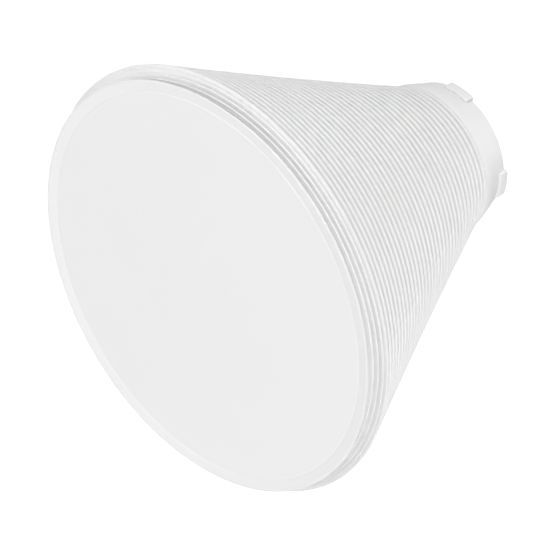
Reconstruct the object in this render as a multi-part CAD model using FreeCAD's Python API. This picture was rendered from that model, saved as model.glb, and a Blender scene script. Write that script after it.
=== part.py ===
import FreeCAD, Part
import math
import os

# A conical horn antenna with a ribbed outer shell, a radome and a bayonet collar. Sizes in millimetres.
# The horn's axis is Y and it opens towards -Y. Its rear mating plane is Y = 0, with the origin on the axis.
# A station is a distance forward of that plane, so a point at station s lies at Y = -s.

# ribbed flare
rib_pitch = 5.0
rib_count = 33
rib_crest = 1.7
rib_depth = 3.0
rib_draft = 0.25
last_rib_stand = 0.3
last_rib_setback = 1.1
first_rib_radius = 123.0
flare_sag = 1.1
shell_wall = 3.8

# rings on the bevel at the mouth
mouth_ring_count = 3
mouth_ring_step = 1.87
mouth_ring_crest = 1.0
seam_gap = 0.7
land_width = 1.8

# radome
radome_plate = 2.5
radome_radius = 118.5
lip_height = 1.5
lip_width = 3.8
lip_slope = 1.6
lip_round = 1.4
face_groove_width = 1.6
face_groove_depth = 0.5
skirt_depth = 9.0
skirt_wall = 4.0
skirt_clearance = 0.25

# O-rings and their grooves
radome_groove_depth = 1.6
radome_groove_width = 2.5
port_groove_depth = 1.5
port_groove_width = 2.4
port_groove_station = 4.0
port_seal_section = 1.9
seal_clearance = 0.03

# inner horn
port_bore_radius = 25.0
horn_wall = 1.5
horn_seat_depth = 19.0
horn_rim_clearance = 0.3
horn_cone_clearance = 0.5
throat_length = 6.0
throat_flange = 3.5
throat_flange_edge = 5.7

# rear end: web of the shell, port ring, collar
web_thickness = 3.5
port_tube_wall = 3.0
port_setback = 1.5
port_flange = 4.0
port_flange_edge = 8.0
fit_clearance = 0.25
collar_length = 20.5
collar_flange = 3.5
collar_wall = 2.8
collar_edge_round = 1.0
collar_band_length = 6.5
collar_band_rise = 1.8
collar_band_step = 0.3
collar_cone_front = 17.0
collar_cone_rise = 3.8

# bayonet lugs, round the collar's rear edge; angles run from +X towards +Z
lug_count = 4
lug_height = 3.0
lug_setback = 0.3
lug_span_deg = 24.0
lug_first_deg = 81.0

# screws, rear to front
screw_count = 6
screw_radius = 1.5
screw_hole_clearance = 0.25
screw_thread_clearance = 0.05
screw_head_radius = 2.8
screw_head_height = 2.0
screw_head_inner_gap = 0.5
screw_head_outer_gap = 0.3
screw_socket_radius = 1.2
screw_socket_depth = 1.2
screw_tip = 1.0
screw_first_deg = 30.0

# how far a cutting tool runs past the face that it cuts
over_cut = 1.0

# radii of the rear end, from the waveguide's bore outwards
port_tube_radius = port_bore_radius + port_tube_wall
screw_circle_radius = port_tube_radius + screw_head_inner_gap + screw_head_radius
throat_flange_radius = screw_circle_radius + throat_flange_edge
port_flange_radius = screw_circle_radius + port_flange_edge
collar_bore_radius = screw_circle_radius + screw_head_radius + screw_head_outer_gap
collar_rear_radius = collar_bore_radius + collar_wall
collar_band_radius = collar_rear_radius + collar_band_rise
collar_front_radius = collar_band_radius + collar_band_step + collar_cone_rise
lug_radius = collar_rear_radius + lug_height
last_rib_radius = collar_front_radius + last_rib_stand

# stations and radii of the flare and its mouth
last_rib_station = collar_length + last_rib_setback
flare_length = rib_pitch * (rib_count - 1)
first_rib_station = last_rib_station + flare_length
front_ring_station = first_rib_station + mouth_ring_count * mouth_ring_step
front_ring_radius = first_rib_radius - mouth_ring_count * mouth_ring_step
shell_front_station = front_ring_station + mouth_ring_crest / 2 + seam_gap
shell_front_radius = front_ring_radius - rib_depth
mouth_bore_radius = shell_front_radius - land_width
horn_seat_station = shell_front_station - horn_seat_depth
web_front_station = collar_length + web_thickness
port_flange_rear_station = collar_length - port_flange
collar_flange_rear_station = port_flange_rear_station - collar_flange
skirt_radius = mouth_bore_radius - skirt_clearance


def crest_radius(station):
    """Radius of the rib crests: a cone that sags a little in its middle."""
    share = (station - last_rib_station) / flare_length
    straight = last_rib_radius + (first_rib_radius - last_rib_radius) * share
    return straight - 4 * flare_sag * share * (1 - share)


def shell_inside_radius(station):
    return crest_radius(station) - rib_depth - shell_wall


def point(radius, station):
    return FreeCAD.Vector(radius, -station, 0)


def line(start, end):
    return Part.makeLine(point(*start), point(*end))


def arc(start, middle, end):
    return Part.Arc(point(*start), point(*middle), point(*end)).toShape()


def lines(corners):
    """Edges through a row of (radius, station) corners, without closing it."""
    return [line(corners[i], corners[i + 1]) for i in range(len(corners) - 1)]


def revolve(edges):
    """A solid of revolution about the horn's axis from a closed outline."""
    face = Part.Face(Part.Wire(Part.sortEdges(edges)[0]))
    return face.revolve(FreeCAD.Vector(0, 0, 0), FreeCAD.Vector(0, 1, 0), 360)


def turned(corners):
    return revolve(lines(corners + [corners[0]]))


def rod(radius, rear, front, centre_radius, angle_deg):
    """A cylinder along the axis between two stations, off the axis at an angle."""
    angle = math.radians(angle_deg)
    base = FreeCAD.Vector(centre_radius * math.cos(angle), -rear, centre_radius * math.sin(angle))
    return Part.makeCylinder(radius, front - rear, base, FreeCAD.Vector(0, -1, 0))


def screw_angles():
    return [screw_first_deg + i * 360.0 / screw_count for i in range(screw_count)]


def screw_holes(radius, rear, front):
    return [rod(radius, rear, front, screw_circle_radius, angle) for angle in screw_angles()]


def o_ring(inner_radius, section, station):
    """A seal that lies on a groove's floor."""
    centre_radius = inner_radius + section / 2
    centre = FreeCAD.Vector(0, -station, 0)
    return Part.makeTorus(centre_radius, section / 2 - seal_clearance, centre, FreeCAD.Vector(0, 1, 0))


def rib_outline():
    """Crests and grooves from the last rib to the front ring.

    The floor of a groove rises with the ribs on either side of it, and each rib is wider at its foot.
    """
    ribs = []
    for i in range(rib_count):
        station = last_rib_station + i * rib_pitch
        ribs.append((station, crest_radius(station), rib_crest))
    for i in range(1, mouth_ring_count + 1):
        step = i * mouth_ring_step
        ribs.append((first_rib_station + step, first_rib_radius - step, mouth_ring_crest))
    corners = []
    radius_behind = last_rib_radius
    for station, radius, crest in ribs:
        foot = crest / 2 + rib_draft
        corners.append((max(radius, radius_behind) - rib_depth, station - foot))
        corners.append((radius, station - crest / 2))
        corners.append((radius, station + crest / 2))
        corners.append((radius - rib_depth, station + foot))
        radius_behind = radius
    return corners


def make_flare_shell():
    hole_radius = port_tube_radius + fit_clearance
    middle_station = (horn_seat_station + web_front_station) / 2
    seat_inner = (shell_inside_radius(horn_seat_station), horn_seat_station)
    middle = (shell_inside_radius(middle_station), middle_station)
    web_outer = (shell_inside_radius(web_front_station), web_front_station)
    outside = rib_outline()
    outside += [
        (shell_front_radius, shell_front_station),
        (mouth_bore_radius, shell_front_station),
        (mouth_bore_radius, horn_seat_station),
        seat_inner,
    ]
    web = [
        web_outer,
        (hole_radius, web_front_station),
        (hole_radius, collar_length),
        outside[0],
    ]
    shell = revolve(lines(outside) + [arc(seat_inner, middle, web_outer)] + lines(web))
    hole = screw_radius + screw_hole_clearance
    return shell.cut(screw_holes(hole, collar_length - over_cut, web_front_station + over_cut))


def make_radome():
    back = shell_front_station
    face = back + radome_plate
    top = face + lip_height
    lip_inner = radome_radius - lip_width
    groove_outer = lip_inner - lip_slope / 2
    groove_inner = groove_outer - face_groove_width
    groove_middle = (groove_outer + groove_inner) / 2
    skirt_rear = back - skirt_depth
    skirt_inner = skirt_radius - skirt_wall
    groove_floor = skirt_radius - radome_groove_depth
    groove_middle_station = back - skirt_depth / 2
    groove_front = groove_middle_station + radome_groove_width / 2
    groove_rear = groove_middle_station - radome_groove_width / 2
    round_middle = lip_round * (1 - math.sqrt(0.5))
    front = lines([
        (0, back),
        (0, face),
        (groove_inner, face),
        (groove_middle, face - face_groove_depth),
        (groove_outer, face),
        (lip_inner + lip_slope / 2, top),
        (radome_radius - lip_round, top),
    ])
    rounding = arc(
        (radome_radius - lip_round, top),
        (radome_radius - round_middle, top - round_middle),
        (radome_radius, top - lip_round),
    )
    rear = lines([
        (radome_radius, top - lip_round),
        (radome_radius, back),
        (skirt_radius, back),
        (skirt_radius, groove_front),
        (groove_floor, groove_front),
        (groove_floor, groove_rear),
        (skirt_radius, groove_rear),
        (skirt_radius, skirt_rear),
        (skirt_inner, skirt_rear),
        (skirt_inner, back),
        (0, back),
    ])
    return revolve(front + [rounding] + rear)


def make_radome_seal():
    groove_floor = skirt_radius - radome_groove_depth
    station = shell_front_station - skirt_depth / 2
    return o_ring(groove_floor, mouth_bore_radius - groove_floor, station)


def make_inner_horn():
    throat_front = web_front_station + throat_length
    neck_radius = port_bore_radius + horn_wall
    rim_radius = mouth_bore_radius - horn_rim_clearance
    rim_front = horn_seat_station + horn_wall
    cone_outer = shell_inside_radius(horn_seat_station) - horn_cone_clearance
    cone_angle = math.atan2(cone_outer - neck_radius, horn_seat_station - throat_front)
    wall_across = horn_wall / math.cos(cone_angle)
    rise_to_front = horn_wall * math.tan(cone_angle)
    flange_front = web_front_station + throat_flange
    horn = turned([
        (port_bore_radius, web_front_station),
        (throat_flange_radius, web_front_station),
        (throat_flange_radius, flange_front),
        (neck_radius, flange_front),
        (neck_radius, throat_front),
        (cone_outer, horn_seat_station),
        (rim_radius, horn_seat_station),
        (rim_radius, rim_front),
        (cone_outer - wall_across + rise_to_front, rim_front),
        (port_bore_radius, throat_front + (wall_across - horn_wall) / math.tan(cone_angle)),
    ])
    hole = screw_radius + screw_thread_clearance
    return horn.cut(screw_holes(hole, web_front_station - over_cut, flange_front + over_cut))


def make_port_ring():
    groove_floor = port_tube_radius - port_groove_depth
    ring = turned([
        (port_bore_radius, port_setback),
        (port_tube_radius, port_setback),
        (port_tube_radius, port_groove_station),
        (groove_floor, port_groove_station),
        (groove_floor, port_groove_station + port_groove_width),
        (port_tube_radius, port_groove_station + port_groove_width),
        (port_tube_radius, port_flange_rear_station),
        (port_flange_radius, port_flange_rear_station),
        (port_flange_radius, collar_length),
        (port_tube_radius, collar_length),
        (port_tube_radius, web_front_station),
        (port_bore_radius, web_front_station),
    ])
    hole = screw_radius + screw_hole_clearance
    holes = screw_holes(hole, port_flange_rear_station - over_cut, collar_length + over_cut)
    return ring.cut(holes)


def make_port_seal():
    groove_floor = port_tube_radius - port_groove_depth
    return o_ring(groove_floor, port_seal_section, port_groove_station + port_groove_width / 2)


def make_rear_collar():
    hub_radius = port_tube_radius + fit_clearance
    pocket_radius = port_flange_radius + fit_clearance
    lug_root_radius = collar_rear_radius - collar_wall / 2
    round_middle = collar_edge_round * (1 - math.sqrt(0.5))
    edge = arc(
        (collar_rear_radius - collar_edge_round, 0),
        (collar_rear_radius - round_middle, round_middle),
        (collar_rear_radius, collar_edge_round),
    )
    rest = lines([
        (collar_rear_radius, collar_edge_round),
        (collar_band_radius, collar_band_length),
        (collar_band_radius + collar_band_step, collar_band_length),
        (collar_front_radius, collar_cone_front),
        (collar_front_radius, collar_length),
        (pocket_radius, collar_length),
        (pocket_radius, port_flange_rear_station),
        (hub_radius, port_flange_rear_station),
        (hub_radius, collar_flange_rear_station),
        (collar_bore_radius, collar_flange_rear_station),
        (collar_bore_radius, 0),
        (collar_rear_radius - collar_edge_round, 0),
    ])
    collar = revolve([edge] + rest)
    lug = Part.Face(Part.Wire(lines([
        (lug_root_radius, lug_setback),
        (lug_radius, lug_setback),
        (lug_radius, collar_band_length),
        (lug_root_radius, collar_band_length),
        (lug_root_radius, lug_setback),
    ])))
    for i in range(lug_count):
        start = lug_first_deg - lug_span_deg / 2 + i * 360.0 / lug_count
        sector = lug.revolve(FreeCAD.Vector(0, 0, 0), FreeCAD.Vector(0, -1, 0), lug_span_deg)
        sector.rotate(FreeCAD.Vector(0, 0, 0), FreeCAD.Vector(0, -1, 0), start)
        collar = collar.fuse(sector)
    hole = screw_radius + screw_hole_clearance
    rear = collar_flange_rear_station - over_cut
    holes = screw_holes(hole, rear, port_flange_rear_station + over_cut)
    return collar.cut(holes).removeSplitter()


def make_collar_screws():
    """Pan-head screws with a socket, all alike."""
    seat = collar_flange_rear_station
    head_rear = seat - screw_head_height
    tip = web_front_station + throat_flange + screw_tip
    screws = []
    for angle in screw_angles():
        head = rod(screw_head_radius, head_rear, seat, screw_circle_radius, angle)
        shank = rod(screw_radius, seat, tip, screw_circle_radius, angle)
        socket_floor = head_rear + screw_socket_depth
        socket = rod(screw_socket_radius, head_rear - over_cut, socket_floor, screw_circle_radius, angle)
        screws.append(head.fuse(shank).cut(socket))
    return Part.makeCompound(screws)


def main():
    os.makedirs("parts", exist_ok=True)
    nodes = {
        "flare_shell": make_flare_shell(),
        "radome": make_radome(),
        "radome_seal": make_radome_seal(),
        "inner_horn": make_inner_horn(),
        "port_ring": make_port_ring(),
        "port_seal": make_port_seal(),
        "rear_collar": make_rear_collar(),
        "collar_screws": make_collar_screws(),
    }
    for name, shape in nodes.items():
        shape.exportStep("parts/" + name + ".step")


main()
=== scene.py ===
"""A conical horn antenna: ribbed white shell, round radome, bayonet collar, aluminium horn inside.

The horn's axis is Y and it opens towards -Y. Sizes are in metres. A station is a distance forward of
the rear mating plane, so a point at station s lies at Y = -s. Outlines are rows of (radius, station,
rounding), where the rounding is that of the outline's corner at that point.
"""

import math

import bmesh
import bpy
from mathutils import Matrix, Vector


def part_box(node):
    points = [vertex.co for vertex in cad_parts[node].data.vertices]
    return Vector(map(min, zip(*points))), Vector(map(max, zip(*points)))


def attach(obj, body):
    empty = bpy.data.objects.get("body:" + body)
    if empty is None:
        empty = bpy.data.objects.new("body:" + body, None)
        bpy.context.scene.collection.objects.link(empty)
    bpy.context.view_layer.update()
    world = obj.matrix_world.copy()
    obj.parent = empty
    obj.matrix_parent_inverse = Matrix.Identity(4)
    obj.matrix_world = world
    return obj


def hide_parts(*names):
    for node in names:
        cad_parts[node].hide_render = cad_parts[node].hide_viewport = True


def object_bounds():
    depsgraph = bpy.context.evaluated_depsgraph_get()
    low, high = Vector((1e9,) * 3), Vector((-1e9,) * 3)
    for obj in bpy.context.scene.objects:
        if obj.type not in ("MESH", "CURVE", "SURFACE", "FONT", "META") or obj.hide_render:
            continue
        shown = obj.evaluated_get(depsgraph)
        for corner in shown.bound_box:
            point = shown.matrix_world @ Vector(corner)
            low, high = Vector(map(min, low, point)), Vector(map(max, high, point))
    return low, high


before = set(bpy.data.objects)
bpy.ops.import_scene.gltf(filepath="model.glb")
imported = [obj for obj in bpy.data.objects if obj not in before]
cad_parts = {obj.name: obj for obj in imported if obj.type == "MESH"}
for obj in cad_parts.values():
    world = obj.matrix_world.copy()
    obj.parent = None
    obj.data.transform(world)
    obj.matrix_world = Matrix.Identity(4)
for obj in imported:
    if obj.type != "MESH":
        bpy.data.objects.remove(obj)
cad_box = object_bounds()

bl_info = {
    "name": "Horn Antenna",
    "version": (1, 0, 0),
    "blender": (4, 5, 0),
    "location": "3D View > Sidebar > Horn Antenna",
    "description": "Builds a ribbed conical horn antenna piece by piece",
    "category": "Add Mesh",
}

MM = 0.001
AXIS = Vector((0, 1, 0))
WHITE = (1, 1, 1, 1)

# roundings that many edges share
FINE_EDGE = 0.2 * MM
EDGE = 0.3 * MM
FILLET = 0.5 * MM

# points closer than this are merged
WELD_DISTANCE = 0.001 * MM

# height of the grain and of the turning marks in the materials
BUMP_DEPTH = 0.02 * MM

# each lamp's name, its degrees off the horn's axis, its degrees round that axis, and its watts
LAMPS = (
    ("top_lamp", 90, 85, 29.5),
    ("camera_side_lamp", 60, 40, 8.0),
    ("front_lamp", 28, 172, 24.5),
    ("right_lamp", 90, 0, 9.0),
    ("low_right_lamp", 58, -28, 20.5),
    ("rear_lamp", 170, -10, 11.0),
)
LAMP_DISTANCE = 2.0
LAMP_SIDE = 1.3


def reach(node):
    """A node's outer radius, its rear station and its front station, as the frame gives them."""
    low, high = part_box(node)
    return high.x, -high.y, -low.y


SHELL_RADIUS, SHELL_REAR, SHELL_FRONT = reach("flare_shell")
RADOME_RADIUS, SKIRT_REAR, RADOME_FRONT = reach("radome")
HORN_RADIUS, HORN_REAR, HORN_FRONT = reach("inner_horn")
PORT_RADIUS, PORT_REAR, PORT_FRONT = reach("port_ring")
COLLAR_RADIUS, COLLAR_REAR, COLLAR_FRONT = reach("rear_collar")


def size(name, description, default):
    return bpy.props.FloatProperty(
        name=name, description=description, default=default, unit="LENGTH"
    )


def count(name, description, default):
    return bpy.props.IntProperty(name=name, description=description, default=default, min=1)


def turn(name, description, degrees):
    return bpy.props.FloatProperty(
        name=name, description=description, default=math.radians(degrees), subtype="ANGLE"
    )


def share(name, description, default):
    return bpy.props.FloatProperty(
        name=name, description=description, default=default, min=0.0, max=1.0
    )


def colour(name, description, default):
    return bpy.props.FloatVectorProperty(
        name=name, description=description, default=default, size=3, subtype="COLOR", min=0.0, max=1.0
    )


class HornShellSizes(bpy.types.PropertyGroup):
    """Sizes of the ribbed shell."""

    rib_pitch: size("Rib pitch", "Distance from rib to rib along the axis", 5.0 * MM)
    rib_count: count("Ribs", "Number of ribs on the flare", 33)
    rib_crest: size("Rib crest", "Width of a rib at its crest", 1.7 * MM)
    rib_depth: size("Rib depth", "Depth of the grooves between ribs", 3.0 * MM)
    rib_draft: size("Rib draft", "How much wider a rib is at its foot, on each side", 0.25 * MM)
    rib_round: size("Rib rounding", "Rounding of a rib's crest", 0.8 * MM)
    last_rib_radius: size("Last rib radius", "Crest radius of the rearmost rib", 43.4 * MM)
    last_rib_setback: size(
        "Last rib setback", "From the shell's rear face to the rearmost crest", 1.1 * MM
    )
    flare_sag: size("Flare sag", "How far the flare sags in its middle", 1.1 * MM)
    shell_wall: size("Wall", "Radial thickness under the grooves", 3.8 * MM)
    ring_count: count("Mouth rings", "Number of rings on the bevel at the mouth", 3)
    ring_step: size("Mouth ring step", "Step of the mouth rings, forwards and inwards", 1.87 * MM)
    ring_crest: size("Mouth ring crest", "Width of a mouth ring at its crest", 1.25 * MM)
    ring_round: size("Mouth ring rounding", "Rounding of a mouth ring's crest", 0.3 * MM)
    land_width: size("Land width", "Width of the front face that carries the radome", 1.8 * MM)
    seat_depth: size("Horn seat depth", "From the front face to the seat of the inner horn", 19.0 * MM)
    web_thickness: size("Web thickness", "Thickness of the rear web", 3.5 * MM)
    turn_steps: count("Turn steps", "Steps of a full turn", 200)


class HornRadomeSizes(bpy.types.PropertyGroup):
    """Sizes of the radome."""

    lip_height: size("Lip height", "How far the lip stands in front of the disc", 0.6 * MM)
    lip_width: size("Lip width", "Width of the lip", 3.8 * MM)
    lip_slope: size("Lip slope", "Width of the slope on the lip's inner side", 4.6 * MM)
    lip_round: size("Lip rounding", "Rounding of the lip's front edge", 0.3 * MM)
    rim_thickness: size("Rim thickness", "Thickness of the rim at its outer edge", 0.4 * MM)
    rim_taper: size("Rim taper", "How much thicker the rim is at its foot", 1.2 * MM)
    rim_overhang: size("Rim overhang", "How far the rim stands out over its foot", 3.7 * MM)
    groove_width: size("Groove width", "Width of the shallow groove inside the lip", 1.6 * MM)
    groove_depth: size("Groove depth", "Depth of that groove", 0.2 * MM)
    skirt_wall: size("Skirt wall", "Thickness of the skirt behind the disc", 4.0 * MM)
    skirt_clearance: size("Skirt clearance", "Gap between skirt and shell", 0.25 * MM)
    seal_groove_depth: size("Seal groove depth", "Depth of the O-ring groove in the skirt", 1.6 * MM)
    seal_groove_width: size("Seal groove width", "Width of the O-ring groove in the skirt", 2.5 * MM)
    turn_steps: count("Turn steps", "Steps of a full turn", 256)


class HornCollarSizes(bpy.types.PropertyGroup):
    """Sizes of the bayonet collar and its screws."""

    bore_radius: size("Bore radius", "Inner radius behind the screws", 34.4 * MM)
    flange: size("Flange", "Thickness of the flange under the screw heads", 3.5 * MM)
    rear_radius: size("Rear radius", "Outer radius just ahead of the rear edge's rounding", 37.2 * MM)
    edge_round: size("Edge rounding", "Rounding of the rear edge", 1.0 * MM)
    band_length: size("Band length", "Length of the tapered band that carries the lugs", 6.5 * MM)
    band_radius: size("Band radius", "Outer radius at the band's front end", 39.0 * MM)
    band_step: size("Band step", "Step from the band up to the cone", 0.3 * MM)
    cone_front: size("Cone front", "Station at which the cone ends in a short cylinder", 17.0 * MM)
    lug_count: count("Lugs", "Number of bayonet lugs", 4)
    lug_radius: size("Lug radius", "Outer radius of the lugs", 40.2 * MM)
    lug_setback: size("Lug setback", "From the rear plane to a lug", 0.3 * MM)
    lug_round: size("Lug rounding", "Rounding of a lug's edges", 0.5 * MM)
    lug_span: turn("Lug span", "Angle that a lug covers", 24.0)
    lug_first: turn("First lug", "Angle of the first lug's middle, from +X towards +Z", 81.0)
    screw_count: count("Screws", "Number of screws", 6)
    screw_circle: size("Screw circle", "Radius of the screw circle", 31.3 * MM)
    screw_radius: size("Screw radius", "Radius of a screw's shank", 1.5 * MM)
    head_radius: size("Head radius", "Radius of a screw's head", 2.8 * MM)
    head_height: size("Head height", "Height of a screw's head", 2.0 * MM)
    socket_radius: size("Socket radius", "Radius to the corners of the hexagon socket", 1.3 * MM)
    socket_depth: size("Socket depth", "Depth of the hexagon socket", 1.2 * MM)
    screw_first: turn("First screw", "Angle of the first screw, from +X towards +Z", 30.0)
    turn_steps: count("Turn steps", "Steps of a full turn", 160)


class HornPortSizes(bpy.types.PropertyGroup):
    """Sizes of the port ring, the inner horn and the O-rings."""

    bore_radius: size("Bore radius", "Inner radius of the round waveguide", 25.0 * MM)
    tube_wall: size("Tube wall", "Wall of the port tube", 3.0 * MM)
    flange: size("Flange", "Thickness of the port's flange", 4.0 * MM)
    tube_round: size("Tube rounding", "Rounding of the port tube's rear edges", 0.4 * MM)
    groove_depth: size("Groove depth", "Depth of the O-ring groove on the port", 1.5 * MM)
    groove_width: size("Groove width", "Width of the O-ring groove on the port", 2.4 * MM)
    groove_station: size("Groove station", "Where the O-ring groove on the port starts", 4.0 * MM)
    fit_clearance: size("Fit clearance", "Gap round the port tube and its flange", 0.25 * MM)
    horn_wall: size("Horn wall", "Sheet thickness of the inner horn", 1.5 * MM)
    cone_clearance: size("Cone clearance", "Gap between horn and shell at the seat", 0.5 * MM)
    throat_length: size("Throat length", "Straight length of the horn's throat", 6.0 * MM)
    throat_flange: size("Throat flange", "Thickness of the horn's rear flange", 3.5 * MM)
    throat_flange_radius: size("Throat flange radius", "Radius of the horn's rear flange", 37.0 * MM)
    turn_steps: count("Turn steps", "Steps of a full turn", 160)


class HornColours(bpy.types.PropertyGroup):
    """Colours and finishes."""

    shell: colour("Shell", "White plastic of the shell and collar", (0.8, 0.8, 0.8))
    radome: colour("Radome", "White plastic of the radome", (0.8, 0.8, 0.8))
    aluminium: colour("Aluminium", "Bare aluminium of horn and port", (0.82, 0.82, 0.83))
    steel: colour("Steel", "Stainless steel of the screws", (0.62, 0.61, 0.6))
    rubber: colour("Rubber", "Rubber of the O-rings", (0.03, 0.03, 0.032))
    shell_roughness: share("Shell roughness", "Roughness of shell and collar", 0.5)
    radome_roughness: share("Radome roughness", "Roughness of the radome", 0.38)


class HornStageSettings(bpy.types.PropertyGroup):
    """Camera, floor and light."""

    azimuth: turn("Azimuth", "Camera's angle round Z, from the -Y side", 44.14)
    elevation: turn("Elevation", "Camera's angle above the horizon", 33.87)
    distance: size("Distance", "From the camera to the plane of the mouth", 3800.0 * MM)
    right_offset: size("Right offset", "How far the camera is moved to the right", 35.98 * MM)
    up_offset: size("Up offset", "How far the camera is moved up", 4.35 * MM)
    aim_ahead: size(
        "Aim ahead", "From the shell's front face to the point that the camera is set by", 1.0 * MM
    )
    lens: bpy.props.FloatProperty(name="Lens", description="Focal length in mm", default=468.6)
    floor_drop: size("Floor drop", "From the object's lowest point to the floor", 1500.0 * MM)
    ambient: share("Ambient", "Strength of the even white light from all sides", 0.1)


def point(radius, station):
    return Vector((radius, -station, 0))


def rounded(corners, arc_steps):
    """The points of an open outline whose corners (radius, station, rounding) are rounded off.

    A rounding takes less than half of the shorter edge beside it, so two roundings never meet.
    """
    most_of_edge = 0.48
    points = []
    for i, (radius, station, rounding) in enumerate(corners):
        corner = Vector((radius, station))
        if rounding == 0 or i in (0, len(corners) - 1):
            points.append(corner)
            continue
        before = Vector(corners[i - 1][:2]) - corner
        after = Vector(corners[i + 1][:2]) - corner
        half = before.angle(after) / 2
        shorter = min(before.length, after.length)
        setback = min(rounding / math.tan(half), shorter * most_of_edge)
        bisector = (before.normalized() + after.normalized()).normalized()
        centre = corner + bisector * setback / math.cos(half)
        arc_radius = setback * math.tan(half)
        start = corner + before.normalized() * setback - centre
        end = corner + after.normalized() * setback - centre
        for step in range(arc_steps + 1):
            points.append(centre + start.slerp(end, step / arc_steps) * arc_radius)
    return points


def new_piece(name, mesh_maker, sharp_deg=35.0):
    """An object whose mesh the given function fills in, smooth except at its sharp edges."""
    mesh = bpy.data.meshes.new(name)
    bm = bmesh.new()
    mesh_maker(bm)
    bm.to_mesh(mesh)
    bm.free()
    mesh.shade_smooth()
    mesh.set_sharp_from_angle(angle=math.radians(sharp_deg))
    piece = bpy.data.objects.new(name, mesh)
    bpy.context.scene.collection.objects.link(piece)
    return piece


def add_turned(bm, points, steps):
    """Turns a closed outline of (radius, station) points about the axis."""
    verts = [bm.verts.new(point(radius, station)) for radius, station in points]
    edges = [bm.edges.new((verts[i - 1], verts[i])) for i in range(len(verts))]
    bmesh.ops.spin(
        bm, geom=verts + edges, cent=(0, 0, 0), axis=AXIS, angle=math.tau, steps=steps, use_merge=True
    )
    bmesh.ops.remove_doubles(bm, verts=bm.verts, dist=WELD_DISTANCE)
    bmesh.ops.recalc_face_normals(bm, faces=bm.faces)


def turned_piece(name, corners, steps):
    """A piece whose rounded outline is turned about the axis."""
    points = rounded(corners, 4)
    return new_piece(name, lambda bm: add_turned(bm, points, steps))


def finish_piece(piece, material, slot, *nodes):
    """Gives a piece its material, hides the nodes that it stands for and hangs it under the root body.
    The slot is not used.
    """
    piece.data.materials.append(material)
    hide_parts(*nodes)
    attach(piece, "root")
    return {"FINISHED"}


def at_angle(angle):
    """Turns a thing that stands at angle 0 (+X) about the axis, towards +Z."""
    return Matrix.Rotation(-angle, 4, AXIS)


# shader node groups

def group_sockets(name, inputs, output, output_type):
    """A new node group with its input and output nodes."""
    group = bpy.data.node_groups.new(name, "ShaderNodeTree")
    for label, kind, default in inputs:
        socket = group.interface.new_socket(name=label, in_out="INPUT", socket_type=kind)
        socket.default_value = default
    group.interface.new_socket(name=output, in_out="OUTPUT", socket_type=output_type)
    return group, group.nodes.new("NodeGroupInput"), group.nodes.new("NodeGroupOutput")


def math_node(tree, operation, first, second):
    """The output of a Math node that is fed with two numbers or sockets."""
    node = tree.nodes.new("ShaderNodeMath")
    node.operation = operation
    for socket, value in zip(node.inputs, (first, second)):
        if isinstance(value, bpy.types.NodeSocket):
            tree.links.new(value, socket)
        else:
            socket.default_value = value
    return node.outputs[0]


def mould_grain_group():
    """Fine spark-eroded grain of a moulded plastic face, as a height."""
    if "mould_grain" in bpy.data.node_groups:
        return bpy.data.node_groups["mould_grain"]
    inputs = [("Grain per metre", "NodeSocketFloat", 2200.0), ("Unevenness", "NodeSocketFloat", 0.25)]
    group, given, result = group_sockets("mould_grain", inputs, "Height", "NodeSocketFloat")
    place = group.nodes.new("ShaderNodeTexCoord")
    fine = group.nodes.new("ShaderNodeTexNoise")
    fine.inputs["Detail"].default_value = 2.0
    broad = group.nodes.new("ShaderNodeTexNoise")
    broad.inputs["Scale"].default_value = 60.0
    group.links.new(place.outputs["Object"], fine.inputs["Vector"])
    group.links.new(given.outputs["Grain per metre"], fine.inputs["Scale"])
    group.links.new(place.outputs["Object"], broad.inputs["Vector"])
    slow = math_node(group, "MULTIPLY", broad.outputs["Fac"], given.outputs["Unevenness"])
    height = math_node(group, "ADD", fine.outputs["Fac"], slow)
    group.links.new(height, result.inputs["Height"])
    return group


def tone_group():
    """A base colour that varies a little from place to place."""
    if "tone_variation" in bpy.data.node_groups:
        return bpy.data.node_groups["tone_variation"]
    inputs = [
        ("Color", "NodeSocketColor", (0.8, 0.8, 0.8, 1.0)),
        ("Patches per metre", "NodeSocketFloat", 14.0),
        ("Amount", "NodeSocketFloat", 0.02),
    ]
    group, given, result = group_sockets("tone_variation", inputs, "Color", "NodeSocketColor")
    place = group.nodes.new("ShaderNodeTexCoord")
    patches = group.nodes.new("ShaderNodeTexNoise")
    patches.inputs["Detail"].default_value = 3.0
    group.links.new(place.outputs["Object"], patches.inputs["Vector"])
    group.links.new(given.outputs["Patches per metre"], patches.inputs["Scale"])
    centred = math_node(group, "SUBTRACT", patches.outputs["Fac"], 0.5)
    swing = math_node(group, "MULTIPLY", centred, given.outputs["Amount"])
    level = math_node(group, "ADD", swing, 1.0)
    scaled = group.nodes.new("ShaderNodeVectorMath")
    scaled.operation = "SCALE"
    group.links.new(given.outputs["Color"], scaled.inputs[0])
    group.links.new(level, scaled.inputs["Scale"])
    group.links.new(scaled.outputs[0], result.inputs["Color"])
    return group


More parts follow.
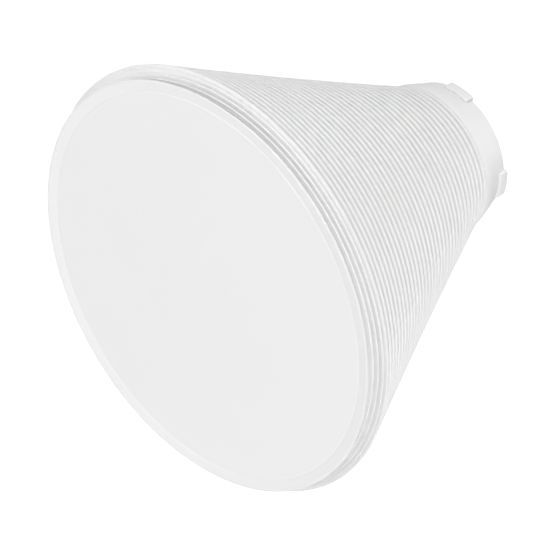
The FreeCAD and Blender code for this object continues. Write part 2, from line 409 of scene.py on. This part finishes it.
def turning_marks_group():
    """Fine rings left by spinning or turning about the Y axis, as a height."""
    if "turning_marks" in bpy.data.node_groups:
        return bpy.data.node_groups["turning_marks"]
    inputs = [("Rings per metre", "NodeSocketFloat", 2500.0), ("Blur", "NodeSocketFloat", 0.35)]
    group, given, result = group_sockets("turning_marks", inputs, "Height", "NodeSocketFloat")
    place = group.nodes.new("ShaderNodeTexCoord")
    split = group.nodes.new("ShaderNodeSeparateXYZ")
    group.links.new(place.outputs["Object"], split.inputs[0])
    across = group.nodes.new("ShaderNodeCombineXYZ")
    group.links.new(split.outputs["X"], across.inputs["X"])
    group.links.new(split.outputs["Z"], across.inputs["Z"])
    radius = group.nodes.new("ShaderNodeVectorMath")
    radius.operation = "LENGTH"
    group.links.new(across.outputs[0], radius.inputs[0])
    along = math_node(group, "SUBTRACT", radius.outputs["Value"], split.outputs["Y"])
    rings = math_node(group, "MULTIPLY", along, given.outputs["Rings per metre"])
    noise = group.nodes.new("ShaderNodeTexNoise")
    noise.noise_dimensions = "1D"
    noise.inputs["Scale"].default_value = 1.0
    noise.inputs["Detail"].default_value = 1.0
    group.links.new(rings, noise.inputs["W"])
    group.links.new(given.outputs["Blur"], noise.inputs["Roughness"])
    group.links.new(noise.outputs["Fac"], result.inputs["Height"])
    return group


# materials

def group_node(tree, group, **values):
    """A node that places a group in a material, with values for some of its inputs."""
    node = tree.nodes.new("ShaderNodeGroup")
    node.node_tree = group
    for label, value in values.items():
        node.inputs[label.replace("_", " ")].default_value = value
    return node


def new_material(name):
    material = bpy.data.materials.new(name)
    material.use_nodes = True
    return material, material.node_tree, material.node_tree.nodes["Principled BSDF"]


def add_bump(tree, shader, height, strength):
    bump = tree.nodes.new("ShaderNodeBump")
    bump.inputs["Strength"].default_value = strength
    bump.inputs["Distance"].default_value = BUMP_DEPTH
    tree.links.new(height, bump.inputs["Height"])
    tree.links.new(bump.outputs["Normal"], shader.inputs["Normal"])


def plastic_material(name, tint, roughness, grain):
    if name in bpy.data.materials:
        return bpy.data.materials[name]
    material, tree, shader = new_material(name)
    tone = group_node(tree, tone_group(), Color=(*tint, 1.0), Amount=0.02)
    tree.links.new(tone.outputs["Color"], shader.inputs["Base Color"])
    shader.inputs["Roughness"].default_value = roughness
    height = group_node(tree, mould_grain_group(), Unevenness=0.3).outputs["Height"]
    add_bump(tree, shader, height, grain)
    return material


def shell_plastic():
    colours = bpy.context.scene.horn_colours
    return plastic_material("shell_plastic", colours.shell, colours.shell_roughness, grain=0.35)


def radome_plastic():
    colours = bpy.context.scene.horn_colours
    return plastic_material("radome_plastic", colours.radome, colours.radome_roughness, grain=0.15)


def metal_material(name, tint, roughness):
    """Bare metal whose turning marks roughen it a little, each by its own amount."""
    if name in bpy.data.materials:
        return bpy.data.materials[name]
    material, tree, shader = new_material(name)
    tone = group_node(tree, tone_group(), Color=(*tint, 1.0), Amount=0.06)
    tree.links.new(tone.outputs["Color"], shader.inputs["Base Color"])
    shader.inputs["Metallic"].default_value = 1.0
    marks = group_node(tree, turning_marks_group()).outputs["Height"]
    most_added = 0.12
    added = math_node(tree, "MULTIPLY", marks, most_added)
    rough = math_node(tree, "ADD", added, roughness)
    tree.links.new(rough, shader.inputs["Roughness"])
    add_bump(tree, shader, marks, strength=0.25)
    return material


def rubber_material():
    if "seal_rubber" in bpy.data.materials:
        return bpy.data.materials["seal_rubber"]
    material, tree, shader = new_material("seal_rubber")
    tint = bpy.context.scene.horn_colours.rubber
    tone = group_node(tree, tone_group(), Color=(*tint, 1.0), Amount=0.2)
    tree.links.new(tone.outputs["Color"], shader.inputs["Base Color"])
    shader.inputs["Roughness"].default_value = 0.6
    height = group_node(tree, mould_grain_group()).outputs["Height"]
    add_bump(tree, shader, height, strength=0.3)
    return material


# sizes that more than one piece uses

def crest_radius(station):
    """Radius of the rib crests: a cone that sags in its middle, by a parabola between its ends."""
    s = bpy.context.scene.horn_shell
    start = SHELL_REAR + s.last_rib_setback
    length = s.rib_pitch * (s.rib_count - 1)
    part = (station - start) / length
    straight = s.last_rib_radius + (SHELL_RADIUS - s.last_rib_radius) * part
    return straight - 4 * s.flare_sag * part * (1 - part)


def mouth_bore_radius():
    """Radius of the mouth that the radome's skirt plugs into."""
    s = bpy.context.scene.horn_shell
    return SHELL_RADIUS - s.ring_count * s.ring_step - s.rib_depth - s.land_width


def web_front_station():
    return SHELL_REAR + bpy.context.scene.horn_shell.web_thickness


def rib_corners():
    """Crests and grooves from the rearmost rib to the front ring."""
    s = bpy.context.scene.horn_shell
    start = SHELL_REAR + s.last_rib_setback
    ribs = []
    for i in range(s.rib_count):
        station = start + i * s.rib_pitch
        ribs.append((station, crest_radius(station), s.rib_crest / 2, s.rib_round))
    first = ribs[-1][0]
    for i in range(1, s.ring_count + 1):
        step = i * s.ring_step
        ribs.append((first + step, SHELL_RADIUS - step, s.ring_crest / 2, s.ring_round))
    corners = []
    floor = s.last_rib_radius - s.rib_depth
    for station, radius, half, edge in ribs:
        floor = max(floor, radius - s.rib_depth)
        corners.append((floor, station - half - s.rib_draft, 0))
        corners.append((radius, station - half, edge))
        corners.append((radius, station + half, edge))
        floor = radius - s.rib_depth
        corners.append((floor, station + half + s.rib_draft, 0))
    return corners


# the horn's pieces

class HORN_OT_flare_shell(bpy.types.Operator):
    """Build the ribbed outer shell"""

    bl_idname = "horn.flare_shell"
    bl_label = "Flare shell"

    def execute(self, context):
        s = context.scene.horn_shell
        port = context.scene.horn_port
        bore = mouth_bore_radius()
        front_radius = bore + s.land_width
        seat = SHELL_FRONT - s.seat_depth
        web_front = web_front_station()
        hole = port.bore_radius + port.tube_wall + port.fit_clearance
        middle = (seat + web_front) / 2
        inside = s.rib_depth + s.shell_wall
        corners = rib_corners() + [
            (front_radius, SHELL_FRONT, FINE_EDGE),
            (bore, SHELL_FRONT, EDGE),
            (bore, seat, 0),
            (crest_radius(seat) - inside, seat, 0),
            (crest_radius(middle) - inside, middle, 0),
            (crest_radius(web_front) - inside, web_front, 0),
            (hole, web_front, 0),
            (hole, SHELL_REAR, 0),
        ]
        piece = turned_piece("shell", corners, s.turn_steps)
        return finish_piece(piece, shell_plastic(), "white_shell", "flare_shell")


class HORN_OT_radome(bpy.types.Operator):
    """Build the radome with its lip and skirt"""

    bl_idname = "horn.radome"
    bl_label = "Radome"

    def execute(self, context):
        r = context.scene.horn_radome
        face = RADOME_FRONT - r.lip_height
        top = RADOME_FRONT
        lip_inner = RADOME_RADIUS - r.lip_width
        groove_outer = lip_inner - r.lip_slope / 2
        groove_inner = groove_outer - r.groove_width
        groove_middle = (groove_outer + groove_inner) / 2
        skirt = mouth_bore_radius() - r.skirt_clearance
        skirt_inner = skirt - r.skirt_wall
        seal_floor = skirt - r.seal_groove_depth
        seal_middle = (SHELL_FRONT + SKIRT_REAR) / 2
        seal_front = seal_middle + r.seal_groove_width / 2
        seal_rear = seal_middle - r.seal_groove_width / 2
        rim_foot = RADOME_RADIUS - r.rim_overhang
        rim_rear = top - r.rim_thickness
        groove_start_round = 0.8 * MM
        slope_end_round = 0.6 * MM
        corners = [
            (0, face, 0),
            (groove_inner, face, groove_start_round),
            (groove_middle, face - r.groove_depth, FILLET),
            (groove_outer, face, FILLET),
            (lip_inner + r.lip_slope / 2, top, slope_end_round),
            (RADOME_RADIUS, top, r.lip_round),
            (RADOME_RADIUS, rim_rear, 0),
            (rim_foot, rim_rear - r.rim_taper, EDGE),
            (rim_foot, SHELL_FRONT, 0),
            (skirt, SHELL_FRONT, FINE_EDGE),
            (skirt, seal_front, 0),
            (seal_floor, seal_front, 0),
            (seal_floor, seal_rear, 0),
            (skirt, seal_rear, 0),
            (skirt, SKIRT_REAR, EDGE),
            (skirt_inner, SKIRT_REAR, EDGE),
            (skirt_inner, SHELL_FRONT, FILLET),
            (0, SHELL_FRONT, 0),
        ]
        piece = turned_piece("radome_cover", corners, r.turn_steps)
        return finish_piece(piece, radome_plastic(), "white_radome", "radome")


def add_lug(bm, sizes, angle):
    """A bayonet lug: a block swept round the collar's rear edge, bevelled where it stands out."""
    sweep_steps = 16
    sharpest_left = math.radians(40)
    root = (sizes.rear_radius + sizes.bore_radius) / 2
    buried = root + 1 * MM
    rear = sizes.lug_setback
    front = sizes.band_length
    outer = sizes.lug_radius
    section = [(root, rear), (outer, rear), (outer, front), (root, front)]
    lug = bmesh.new()
    start = at_angle(angle - sizes.lug_span / 2)
    verts = [lug.verts.new(start @ point(radius, station)) for radius, station in section]
    face = lug.faces.new(verts)
    bmesh.ops.spin(
        lug, geom=[face] + face.edges[:] + face.verts[:], cent=(0, 0, 0), axis=-AXIS,
        angle=sizes.lug_span, steps=sweep_steps,
    )
    bmesh.ops.recalc_face_normals(lug, faces=lug.faces)
    sharp = [
        edge for edge in lug.edges
        if edge.is_manifold and edge.calc_face_angle() > sharpest_left
        and all(math.hypot(vert.co.x, vert.co.z) > buried for vert in edge.verts)
    ]
    bmesh.ops.bevel(
        lug, geom=sharp, offset=sizes.lug_round, segments=3, profile=0.5, affect="EDGES", material=-1
    )
    part = bpy.data.meshes.new("lug")
    lug.to_mesh(part)
    lug.free()
    bm.from_mesh(part)
    bpy.data.meshes.remove(part)


class HORN_OT_rear_collar(bpy.types.Operator):
    """Build the collar with its bayonet lugs"""

    bl_idname = "horn.rear_collar"
    bl_label = "Rear collar"

    def execute(self, context):
        c = context.scene.horn_collar
        port = context.scene.horn_port
        hub = port.bore_radius + port.tube_wall + port.fit_clearance
        pocket = PORT_RADIUS + port.fit_clearance
        port_flange_rear = COLLAR_FRONT - port.flange
        flange_rear = port_flange_rear - c.flange
        bore_edge = 0.4 * MM
        step_edge = 0.1 * MM
        cone_blend = 8 * MM
        corners = [
            (hub, flange_rear, 0),
            (c.bore_radius, flange_rear, FILLET),
            (c.bore_radius, COLLAR_REAR, bore_edge),
            (c.rear_radius, COLLAR_REAR, c.edge_round),
            (c.band_radius, c.band_length, FINE_EDGE),
            (c.band_radius + c.band_step, c.band_length, step_edge),
            (COLLAR_RADIUS, c.cone_front, cone_blend),
            (COLLAR_RADIUS, COLLAR_FRONT, EDGE),
            (pocket, COLLAR_FRONT, 0),
            (pocket, port_flange_rear, 0),
            (hub, port_flange_rear, 0),
        ]

        def make(bm):
            add_turned(bm, rounded(corners, 6), c.turn_steps)
            for i in range(c.lug_count):
                add_lug(bm, c, c.lug_first + i * math.tau / c.lug_count)

        piece = new_piece("collar", make)
        return finish_piece(piece, shell_plastic(), "white_shell", "rear_collar")


class HORN_OT_inner_horn(bpy.types.Operator):
    """Build the aluminium horn inside the shell"""

    bl_idname = "horn.inner_horn"
    bl_label = "Inner horn"

    def execute(self, context):
        p = context.scene.horn_port
        s = context.scene.horn_shell
        seat = SHELL_FRONT - s.seat_depth
        throat_front = HORN_REAR + p.throat_length
        neck = p.bore_radius + p.horn_wall
        cone_outer = crest_radius(seat) - s.rib_depth - s.shell_wall - p.cone_clearance
        cone_angle = math.atan2(cone_outer - neck, seat - throat_front)
        wall_across = p.horn_wall / math.cos(cone_angle)
        rise = p.horn_wall * math.tan(cone_angle)
        flange_front = HORN_REAR + p.throat_flange
        inner_throat = throat_front + (wall_across - p.horn_wall) / math.tan(cone_angle)
        flange_edge = 0.4 * MM
        outer_throat_bend = 2 * MM
        inner_throat_bend = 3 * MM
        mouth_bend = 1.2 * MM
        corners = [
            (p.throat_flange_radius, HORN_REAR, 0),
            (p.throat_flange_radius, flange_front, flange_edge),
            (neck, flange_front, FILLET),
            (neck, throat_front, outer_throat_bend),
            (cone_outer, seat, EDGE),
            (HORN_RADIUS, seat, EDGE),
            (HORN_RADIUS, HORN_FRONT, EDGE),
            (cone_outer - wall_across + rise, HORN_FRONT, mouth_bend),
            (p.bore_radius, inner_throat, inner_throat_bend),
            (p.bore_radius, HORN_REAR, 0),
        ]
        piece = turned_piece("horn_inside", corners, p.turn_steps)
        tint = context.scene.horn_colours.aluminium
        metal = metal_material("spun_aluminium", tint, roughness=0.3)
        return finish_piece(piece, metal, "horn_aluminium", "inner_horn")


class HORN_OT_port_ring(bpy.types.Operator):
    """Build the round waveguide port"""

    bl_idname = "horn.port_ring"
    bl_label = "Port ring"

    def execute(self, context):
        p = context.scene.horn_port
        tube = p.bore_radius + p.tube_wall
        floor = tube - p.groove_depth
        flange_rear = COLLAR_FRONT - p.flange
        groove_front = p.groove_station + p.groove_width
        groove_edge = 0.15 * MM
        corners = [
            (p.bore_radius, PORT_FRONT, 0),
            (p.bore_radius, PORT_REAR, p.tube_round * 2),
            (tube, PORT_REAR, p.tube_round),
            (tube, p.groove_station, groove_edge),
            (floor, p.groove_station, 0),
            (floor, groove_front, 0),
            (tube, groove_front, groove_edge),
            (tube, flange_rear, 0),
            (PORT_RADIUS, flange_rear, EDGE),
            (PORT_RADIUS, COLLAR_FRONT, EDGE),
            (tube, COLLAR_FRONT, 0),
            (tube, PORT_FRONT, 0),
        ]
        piece = turned_piece("port", corners, p.turn_steps)
        tint = context.scene.horn_colours.aluminium
        metal = metal_material("turned_aluminium", tint, roughness=0.25)
        return finish_piece(piece, metal, "horn_aluminium", "port_ring")


class HORN_OT_seals(bpy.types.Operator):
    """Build the two O-rings"""

    bl_idname = "horn.seals"
    bl_label = "O-rings"

    def execute(self, context):
        steps = context.scene.horn_port.turn_steps
        section_points = 16
        for name, node in (("radome_o_ring", "radome_seal"), ("port_o_ring", "port_seal")):
            outer, rear, front = reach(node)
            section = (front - rear) / 2
            middle = (front + rear) / 2
            angles = [i * math.tau / section_points for i in range(section_points)]
            ring = [
                (outer - section + section * math.cos(angle), middle + section * math.sin(angle))
                for angle in angles
            ]
            piece = new_piece(name, lambda bm: add_turned(bm, ring, steps), sharp_deg=60.0)
            finish_piece(piece, rubber_material(), "seal_rubber", node)
        return {"FINISHED"}


def add_screw(bm, sizes, angle, seat, tip):
    """A pan-head screw with a hexagon socket, its head towards the rear."""
    screw_steps = 24
    chamfer_in = 0.4 * MM
    chamfer_along = 0.5 * MM
    head_dome = 1.4 * MM
    head_rear = seat - sizes.head_height
    socket_floor = head_rear + sizes.socket_depth
    outline = rounded([
        (0, tip, 0),
        (sizes.screw_radius - chamfer_in, tip, 0),
        (sizes.screw_radius, tip - chamfer_along, 0),
        (sizes.screw_radius, seat, 0),
        (sizes.head_radius, seat, FINE_EDGE),
        (sizes.head_radius, head_rear, head_dome),
        (sizes.socket_radius, head_rear, 0),
    ], 5)
    screw = bmesh.new()
    verts = [screw.verts.new(point(radius, station)) for radius, station in outline]
    edges = [screw.edges.new((verts[i], verts[i + 1])) for i in range(len(verts) - 1)]
    bmesh.ops.spin(
        screw, geom=verts + edges, cent=(0, 0, 0), axis=AXIS, angle=math.tau, steps=screw_steps,
        use_merge=True,
    )
    bmesh.ops.remove_doubles(screw, verts=screw.verts, dist=WELD_DISTANCE)
    rim = [edge for edge in screw.edges if edge.is_boundary]
    for vert in {vert for edge in rim for vert in edge.verts}:
        turned = math.atan2(vert.co.z, vert.co.x) % (math.pi / 3) - math.pi / 6
        flat = math.cos(math.pi / 6) / math.cos(turned)
        vert.co.x *= flat
        vert.co.z *= flat
    walls = bmesh.ops.extrude_edge_only(screw, edges=rim)["geom"]
    floor = [item for item in walls if isinstance(item, bmesh.types.BMVert)]
    for vert in floor:
        vert.co.y = -socket_floor
    open_edges = [edge for edge in screw.edges if edge.is_boundary]
    bmesh.ops.contextual_create(screw, geom=open_edges)
    bmesh.ops.recalc_face_normals(screw, faces=screw.faces)
    place = at_angle(angle) @ Matrix.Translation((sizes.screw_circle, 0, 0))
    bmesh.ops.transform(screw, matrix=place, verts=screw.verts)
    part = bpy.data.meshes.new("screw")
    screw.to_mesh(part)
    screw.free()
    bm.from_mesh(part)
    bpy.data.meshes.remove(part)


class HORN_OT_collar_screws(bpy.types.Operator):
    """Build the screws that hold collar, port, shell and horn together"""

    bl_idname = "horn.collar_screws"
    bl_label = "Collar screws"

    def execute(self, context):
        c = context.scene.horn_collar
        seat = COLLAR_FRONT - context.scene.horn_port.flange - c.flange
        tip = -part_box("collar_screws")[0].y

        def make(bm):
            for i in range(c.screw_count):
                add_screw(bm, c, c.screw_first + i * math.tau / c.screw_count, seat, tip)

        piece = new_piece("screws", make)
        metal = metal_material("screw_steel", context.scene.horn_colours.steel, roughness=0.32)
        return finish_piece(piece, metal, "screw_steel", "collar_screws")


# floor, lamps and camera

def seen_or_lit_background(tree, seen_strength, lit_strength, output):
    """White to the camera, in mirrors and through glass, and a plain even light for all else."""
    path = tree.nodes.new("ShaderNodeLightPath")
    direct = math_node(tree, "MAXIMUM", path.outputs["Is Camera Ray"], path.outputs["Is Glossy Ray"])
    seen = math_node(tree, "MAXIMUM", direct, path.outputs["Is Transmission Ray"])
    mix = tree.nodes.new("ShaderNodeMixShader")
    tree.links.new(seen, mix.inputs["Fac"])
    for slot, strength in ((1, lit_strength), (2, seen_strength)):
        light = tree.nodes.new("ShaderNodeBackground")
        light.inputs["Color"].default_value = WHITE
        light.inputs["Strength"].default_value = strength
        tree.links.new(light.outputs[0], mix.inputs[slot])
    tree.links.new(mix.outputs[0], output.inputs["Surface"])


def floor_material():
    """A matt floor that looks white to the camera and keeps the object's shadow."""
    glow_strength = 0.85
    material, tree, shader = new_material("studio_floor")
    shader.inputs["Base Color"].default_value = (0.9, 0.9, 0.9, 1)
    shader.inputs["Roughness"].default_value = 0.9
    path = tree.nodes.new("ShaderNodeLightPath")
    glow = math_node(tree, "MULTIPLY", path.outputs["Is Camera Ray"], glow_strength)
    shader.inputs["Emission Color"].default_value = WHITE
    tree.links.new(glow, shader.inputs["Emission Strength"])
    return material


def add_lamp(name, off_axis, round_axis, watts):
    """A soft square lamp that points at the object's middle.

    It stands off_axis degrees from the horn's axis, in front of the mouth at 0 and behind the horn
    at 180, and round_axis degrees round that axis, from +X towards +Z.
    """
    off = math.radians(off_axis)
    turned = math.radians(round_axis)
    sideways = math.sin(off)
    towards = Vector((sideways * math.cos(turned), -math.cos(off), sideways * math.sin(turned)))
    middle = (Vector(cad_box[0]) + Vector(cad_box[1])) / 2
    data = bpy.data.lights.new(name, "AREA")
    data.size = LAMP_SIDE
    data.energy = watts
    lamp = bpy.data.objects.new(name, data)
    lamp.location = middle + towards * LAMP_DISTANCE
    lamp.rotation_euler = (-towards).to_track_quat("-Z", "Y").to_euler()
    bpy.context.scene.collection.objects.link(lamp)


def add_camera(stage):
    """The camera, turned by azimuth and elevation and then moved along its own right and up."""
    back = Vector((
        math.sin(stage.azimuth) * math.cos(stage.elevation),
        -math.cos(stage.azimuth) * math.cos(stage.elevation),
        math.sin(stage.elevation),
    ))
    right = Vector((math.cos(stage.azimuth), math.sin(stage.azimuth), 0))
    up = back.cross(right)
    data = bpy.data.cameras.new("photo_camera")
    data.sensor_width = 36
    data.lens = stage.lens
    data.clip_end = 50
    camera = bpy.data.objects.new("photo_camera", data)
    aim = Vector((0, -SHELL_FRONT - stage.aim_ahead, 0))
    camera.location = aim + back * stage.distance + right * stage.right_offset + up * stage.up_offset
    turn_matrix = Matrix((right, up, back)).transposed()
    camera.rotation_euler = turn_matrix.to_euler()
    bpy.context.scene.collection.objects.link(camera)
    bpy.context.scene.camera = camera


class HORN_OT_stage(bpy.types.Operator):
    """Set up floor, light and camera"""

    bl_idname = "horn.stage"
    bl_label = "Stage"

    def execute(self, context):
        stage = context.scene.horn_stage
        floor_height = cad_box[0][2] - stage.floor_drop
        floor_half_side = 6.0
        floor_mesh = bpy.data.meshes.new("floor")
        bm = bmesh.new()
        bmesh.ops.create_grid(bm, x_segments=1, y_segments=1, size=floor_half_side)
        bmesh.ops.translate(bm, verts=bm.verts, vec=(0, 0, floor_height))
        bm.to_mesh(floor_mesh)
        bm.free()
        floor = bpy.data.objects.new("floor", floor_mesh)
        floor.data.materials.append(floor_material())
        context.scene.collection.objects.link(floor)
        for name, off_axis, round_axis, watts in LAMPS:
            add_lamp(name, off_axis, round_axis, watts)
        world = bpy.data.worlds.new("studio")
        context.scene.world = world
        world.use_nodes = True
        world.node_tree.nodes.clear()
        output = world.node_tree.nodes.new("ShaderNodeOutputWorld")
        seen_or_lit_background(world.node_tree, 1.0, stage.ambient, output)
        context.scene.view_settings.view_transform = "Standard"
        add_camera(stage)
        return {"FINISHED"}


# panel, registration and run

class HORN_PT_panel(bpy.types.Panel):
    """The horn's pieces, in the order in which they are built"""

    bl_idname = "HORN_PT_panel"
    bl_label = "Horn Antenna"
    bl_space_type = "VIEW_3D"
    bl_region_type = "UI"
    bl_category = "Horn Antenna"

    def draw(self, context):
        for operator in OPERATORS:
            self.layout.operator(operator.bl_idname)
        for name, group in SETTINGS.items():
            box = self.layout.box()
            box.label(text=group.__doc__)
            for key in group.__annotations__:
                box.prop(getattr(context.scene, name), key)


SETTINGS = {
    "horn_shell": HornShellSizes,
    "horn_radome": HornRadomeSizes,
    "horn_collar": HornCollarSizes,
    "horn_port": HornPortSizes,
    "horn_colours": HornColours,
    "horn_stage": HornStageSettings,
}

OPERATORS = (
    HORN_OT_flare_shell,
    HORN_OT_radome,
    HORN_OT_rear_collar,
    HORN_OT_inner_horn,
    HORN_OT_port_ring,
    HORN_OT_seals,
    HORN_OT_collar_screws,
    HORN_OT_stage,
)


def register():
    for cls in (*SETTINGS.values(), *OPERATORS, HORN_PT_panel):
        bpy.utils.register_class(cls)
    for name, group in SETTINGS.items():
        setattr(bpy.types.Scene, name, bpy.props.PointerProperty(type=group))


def unregister():
    for name in SETTINGS:
        delattr(bpy.types.Scene, name)
    for cls in reversed((*SETTINGS.values(), *OPERATORS, HORN_PT_panel)):
        bpy.utils.unregister_class(cls)


def main():
    register()
    bpy.ops.horn.flare_shell()
    bpy.ops.horn.radome()
    bpy.ops.horn.rear_collar()
    bpy.ops.horn.inner_horn()
    bpy.ops.horn.port_ring()
    bpy.ops.horn.seals()
    bpy.ops.horn.collar_screws()
    bpy.ops.horn.stage()
    bpy.context.view_layer.update()


if __name__ == "__main__":
    main()
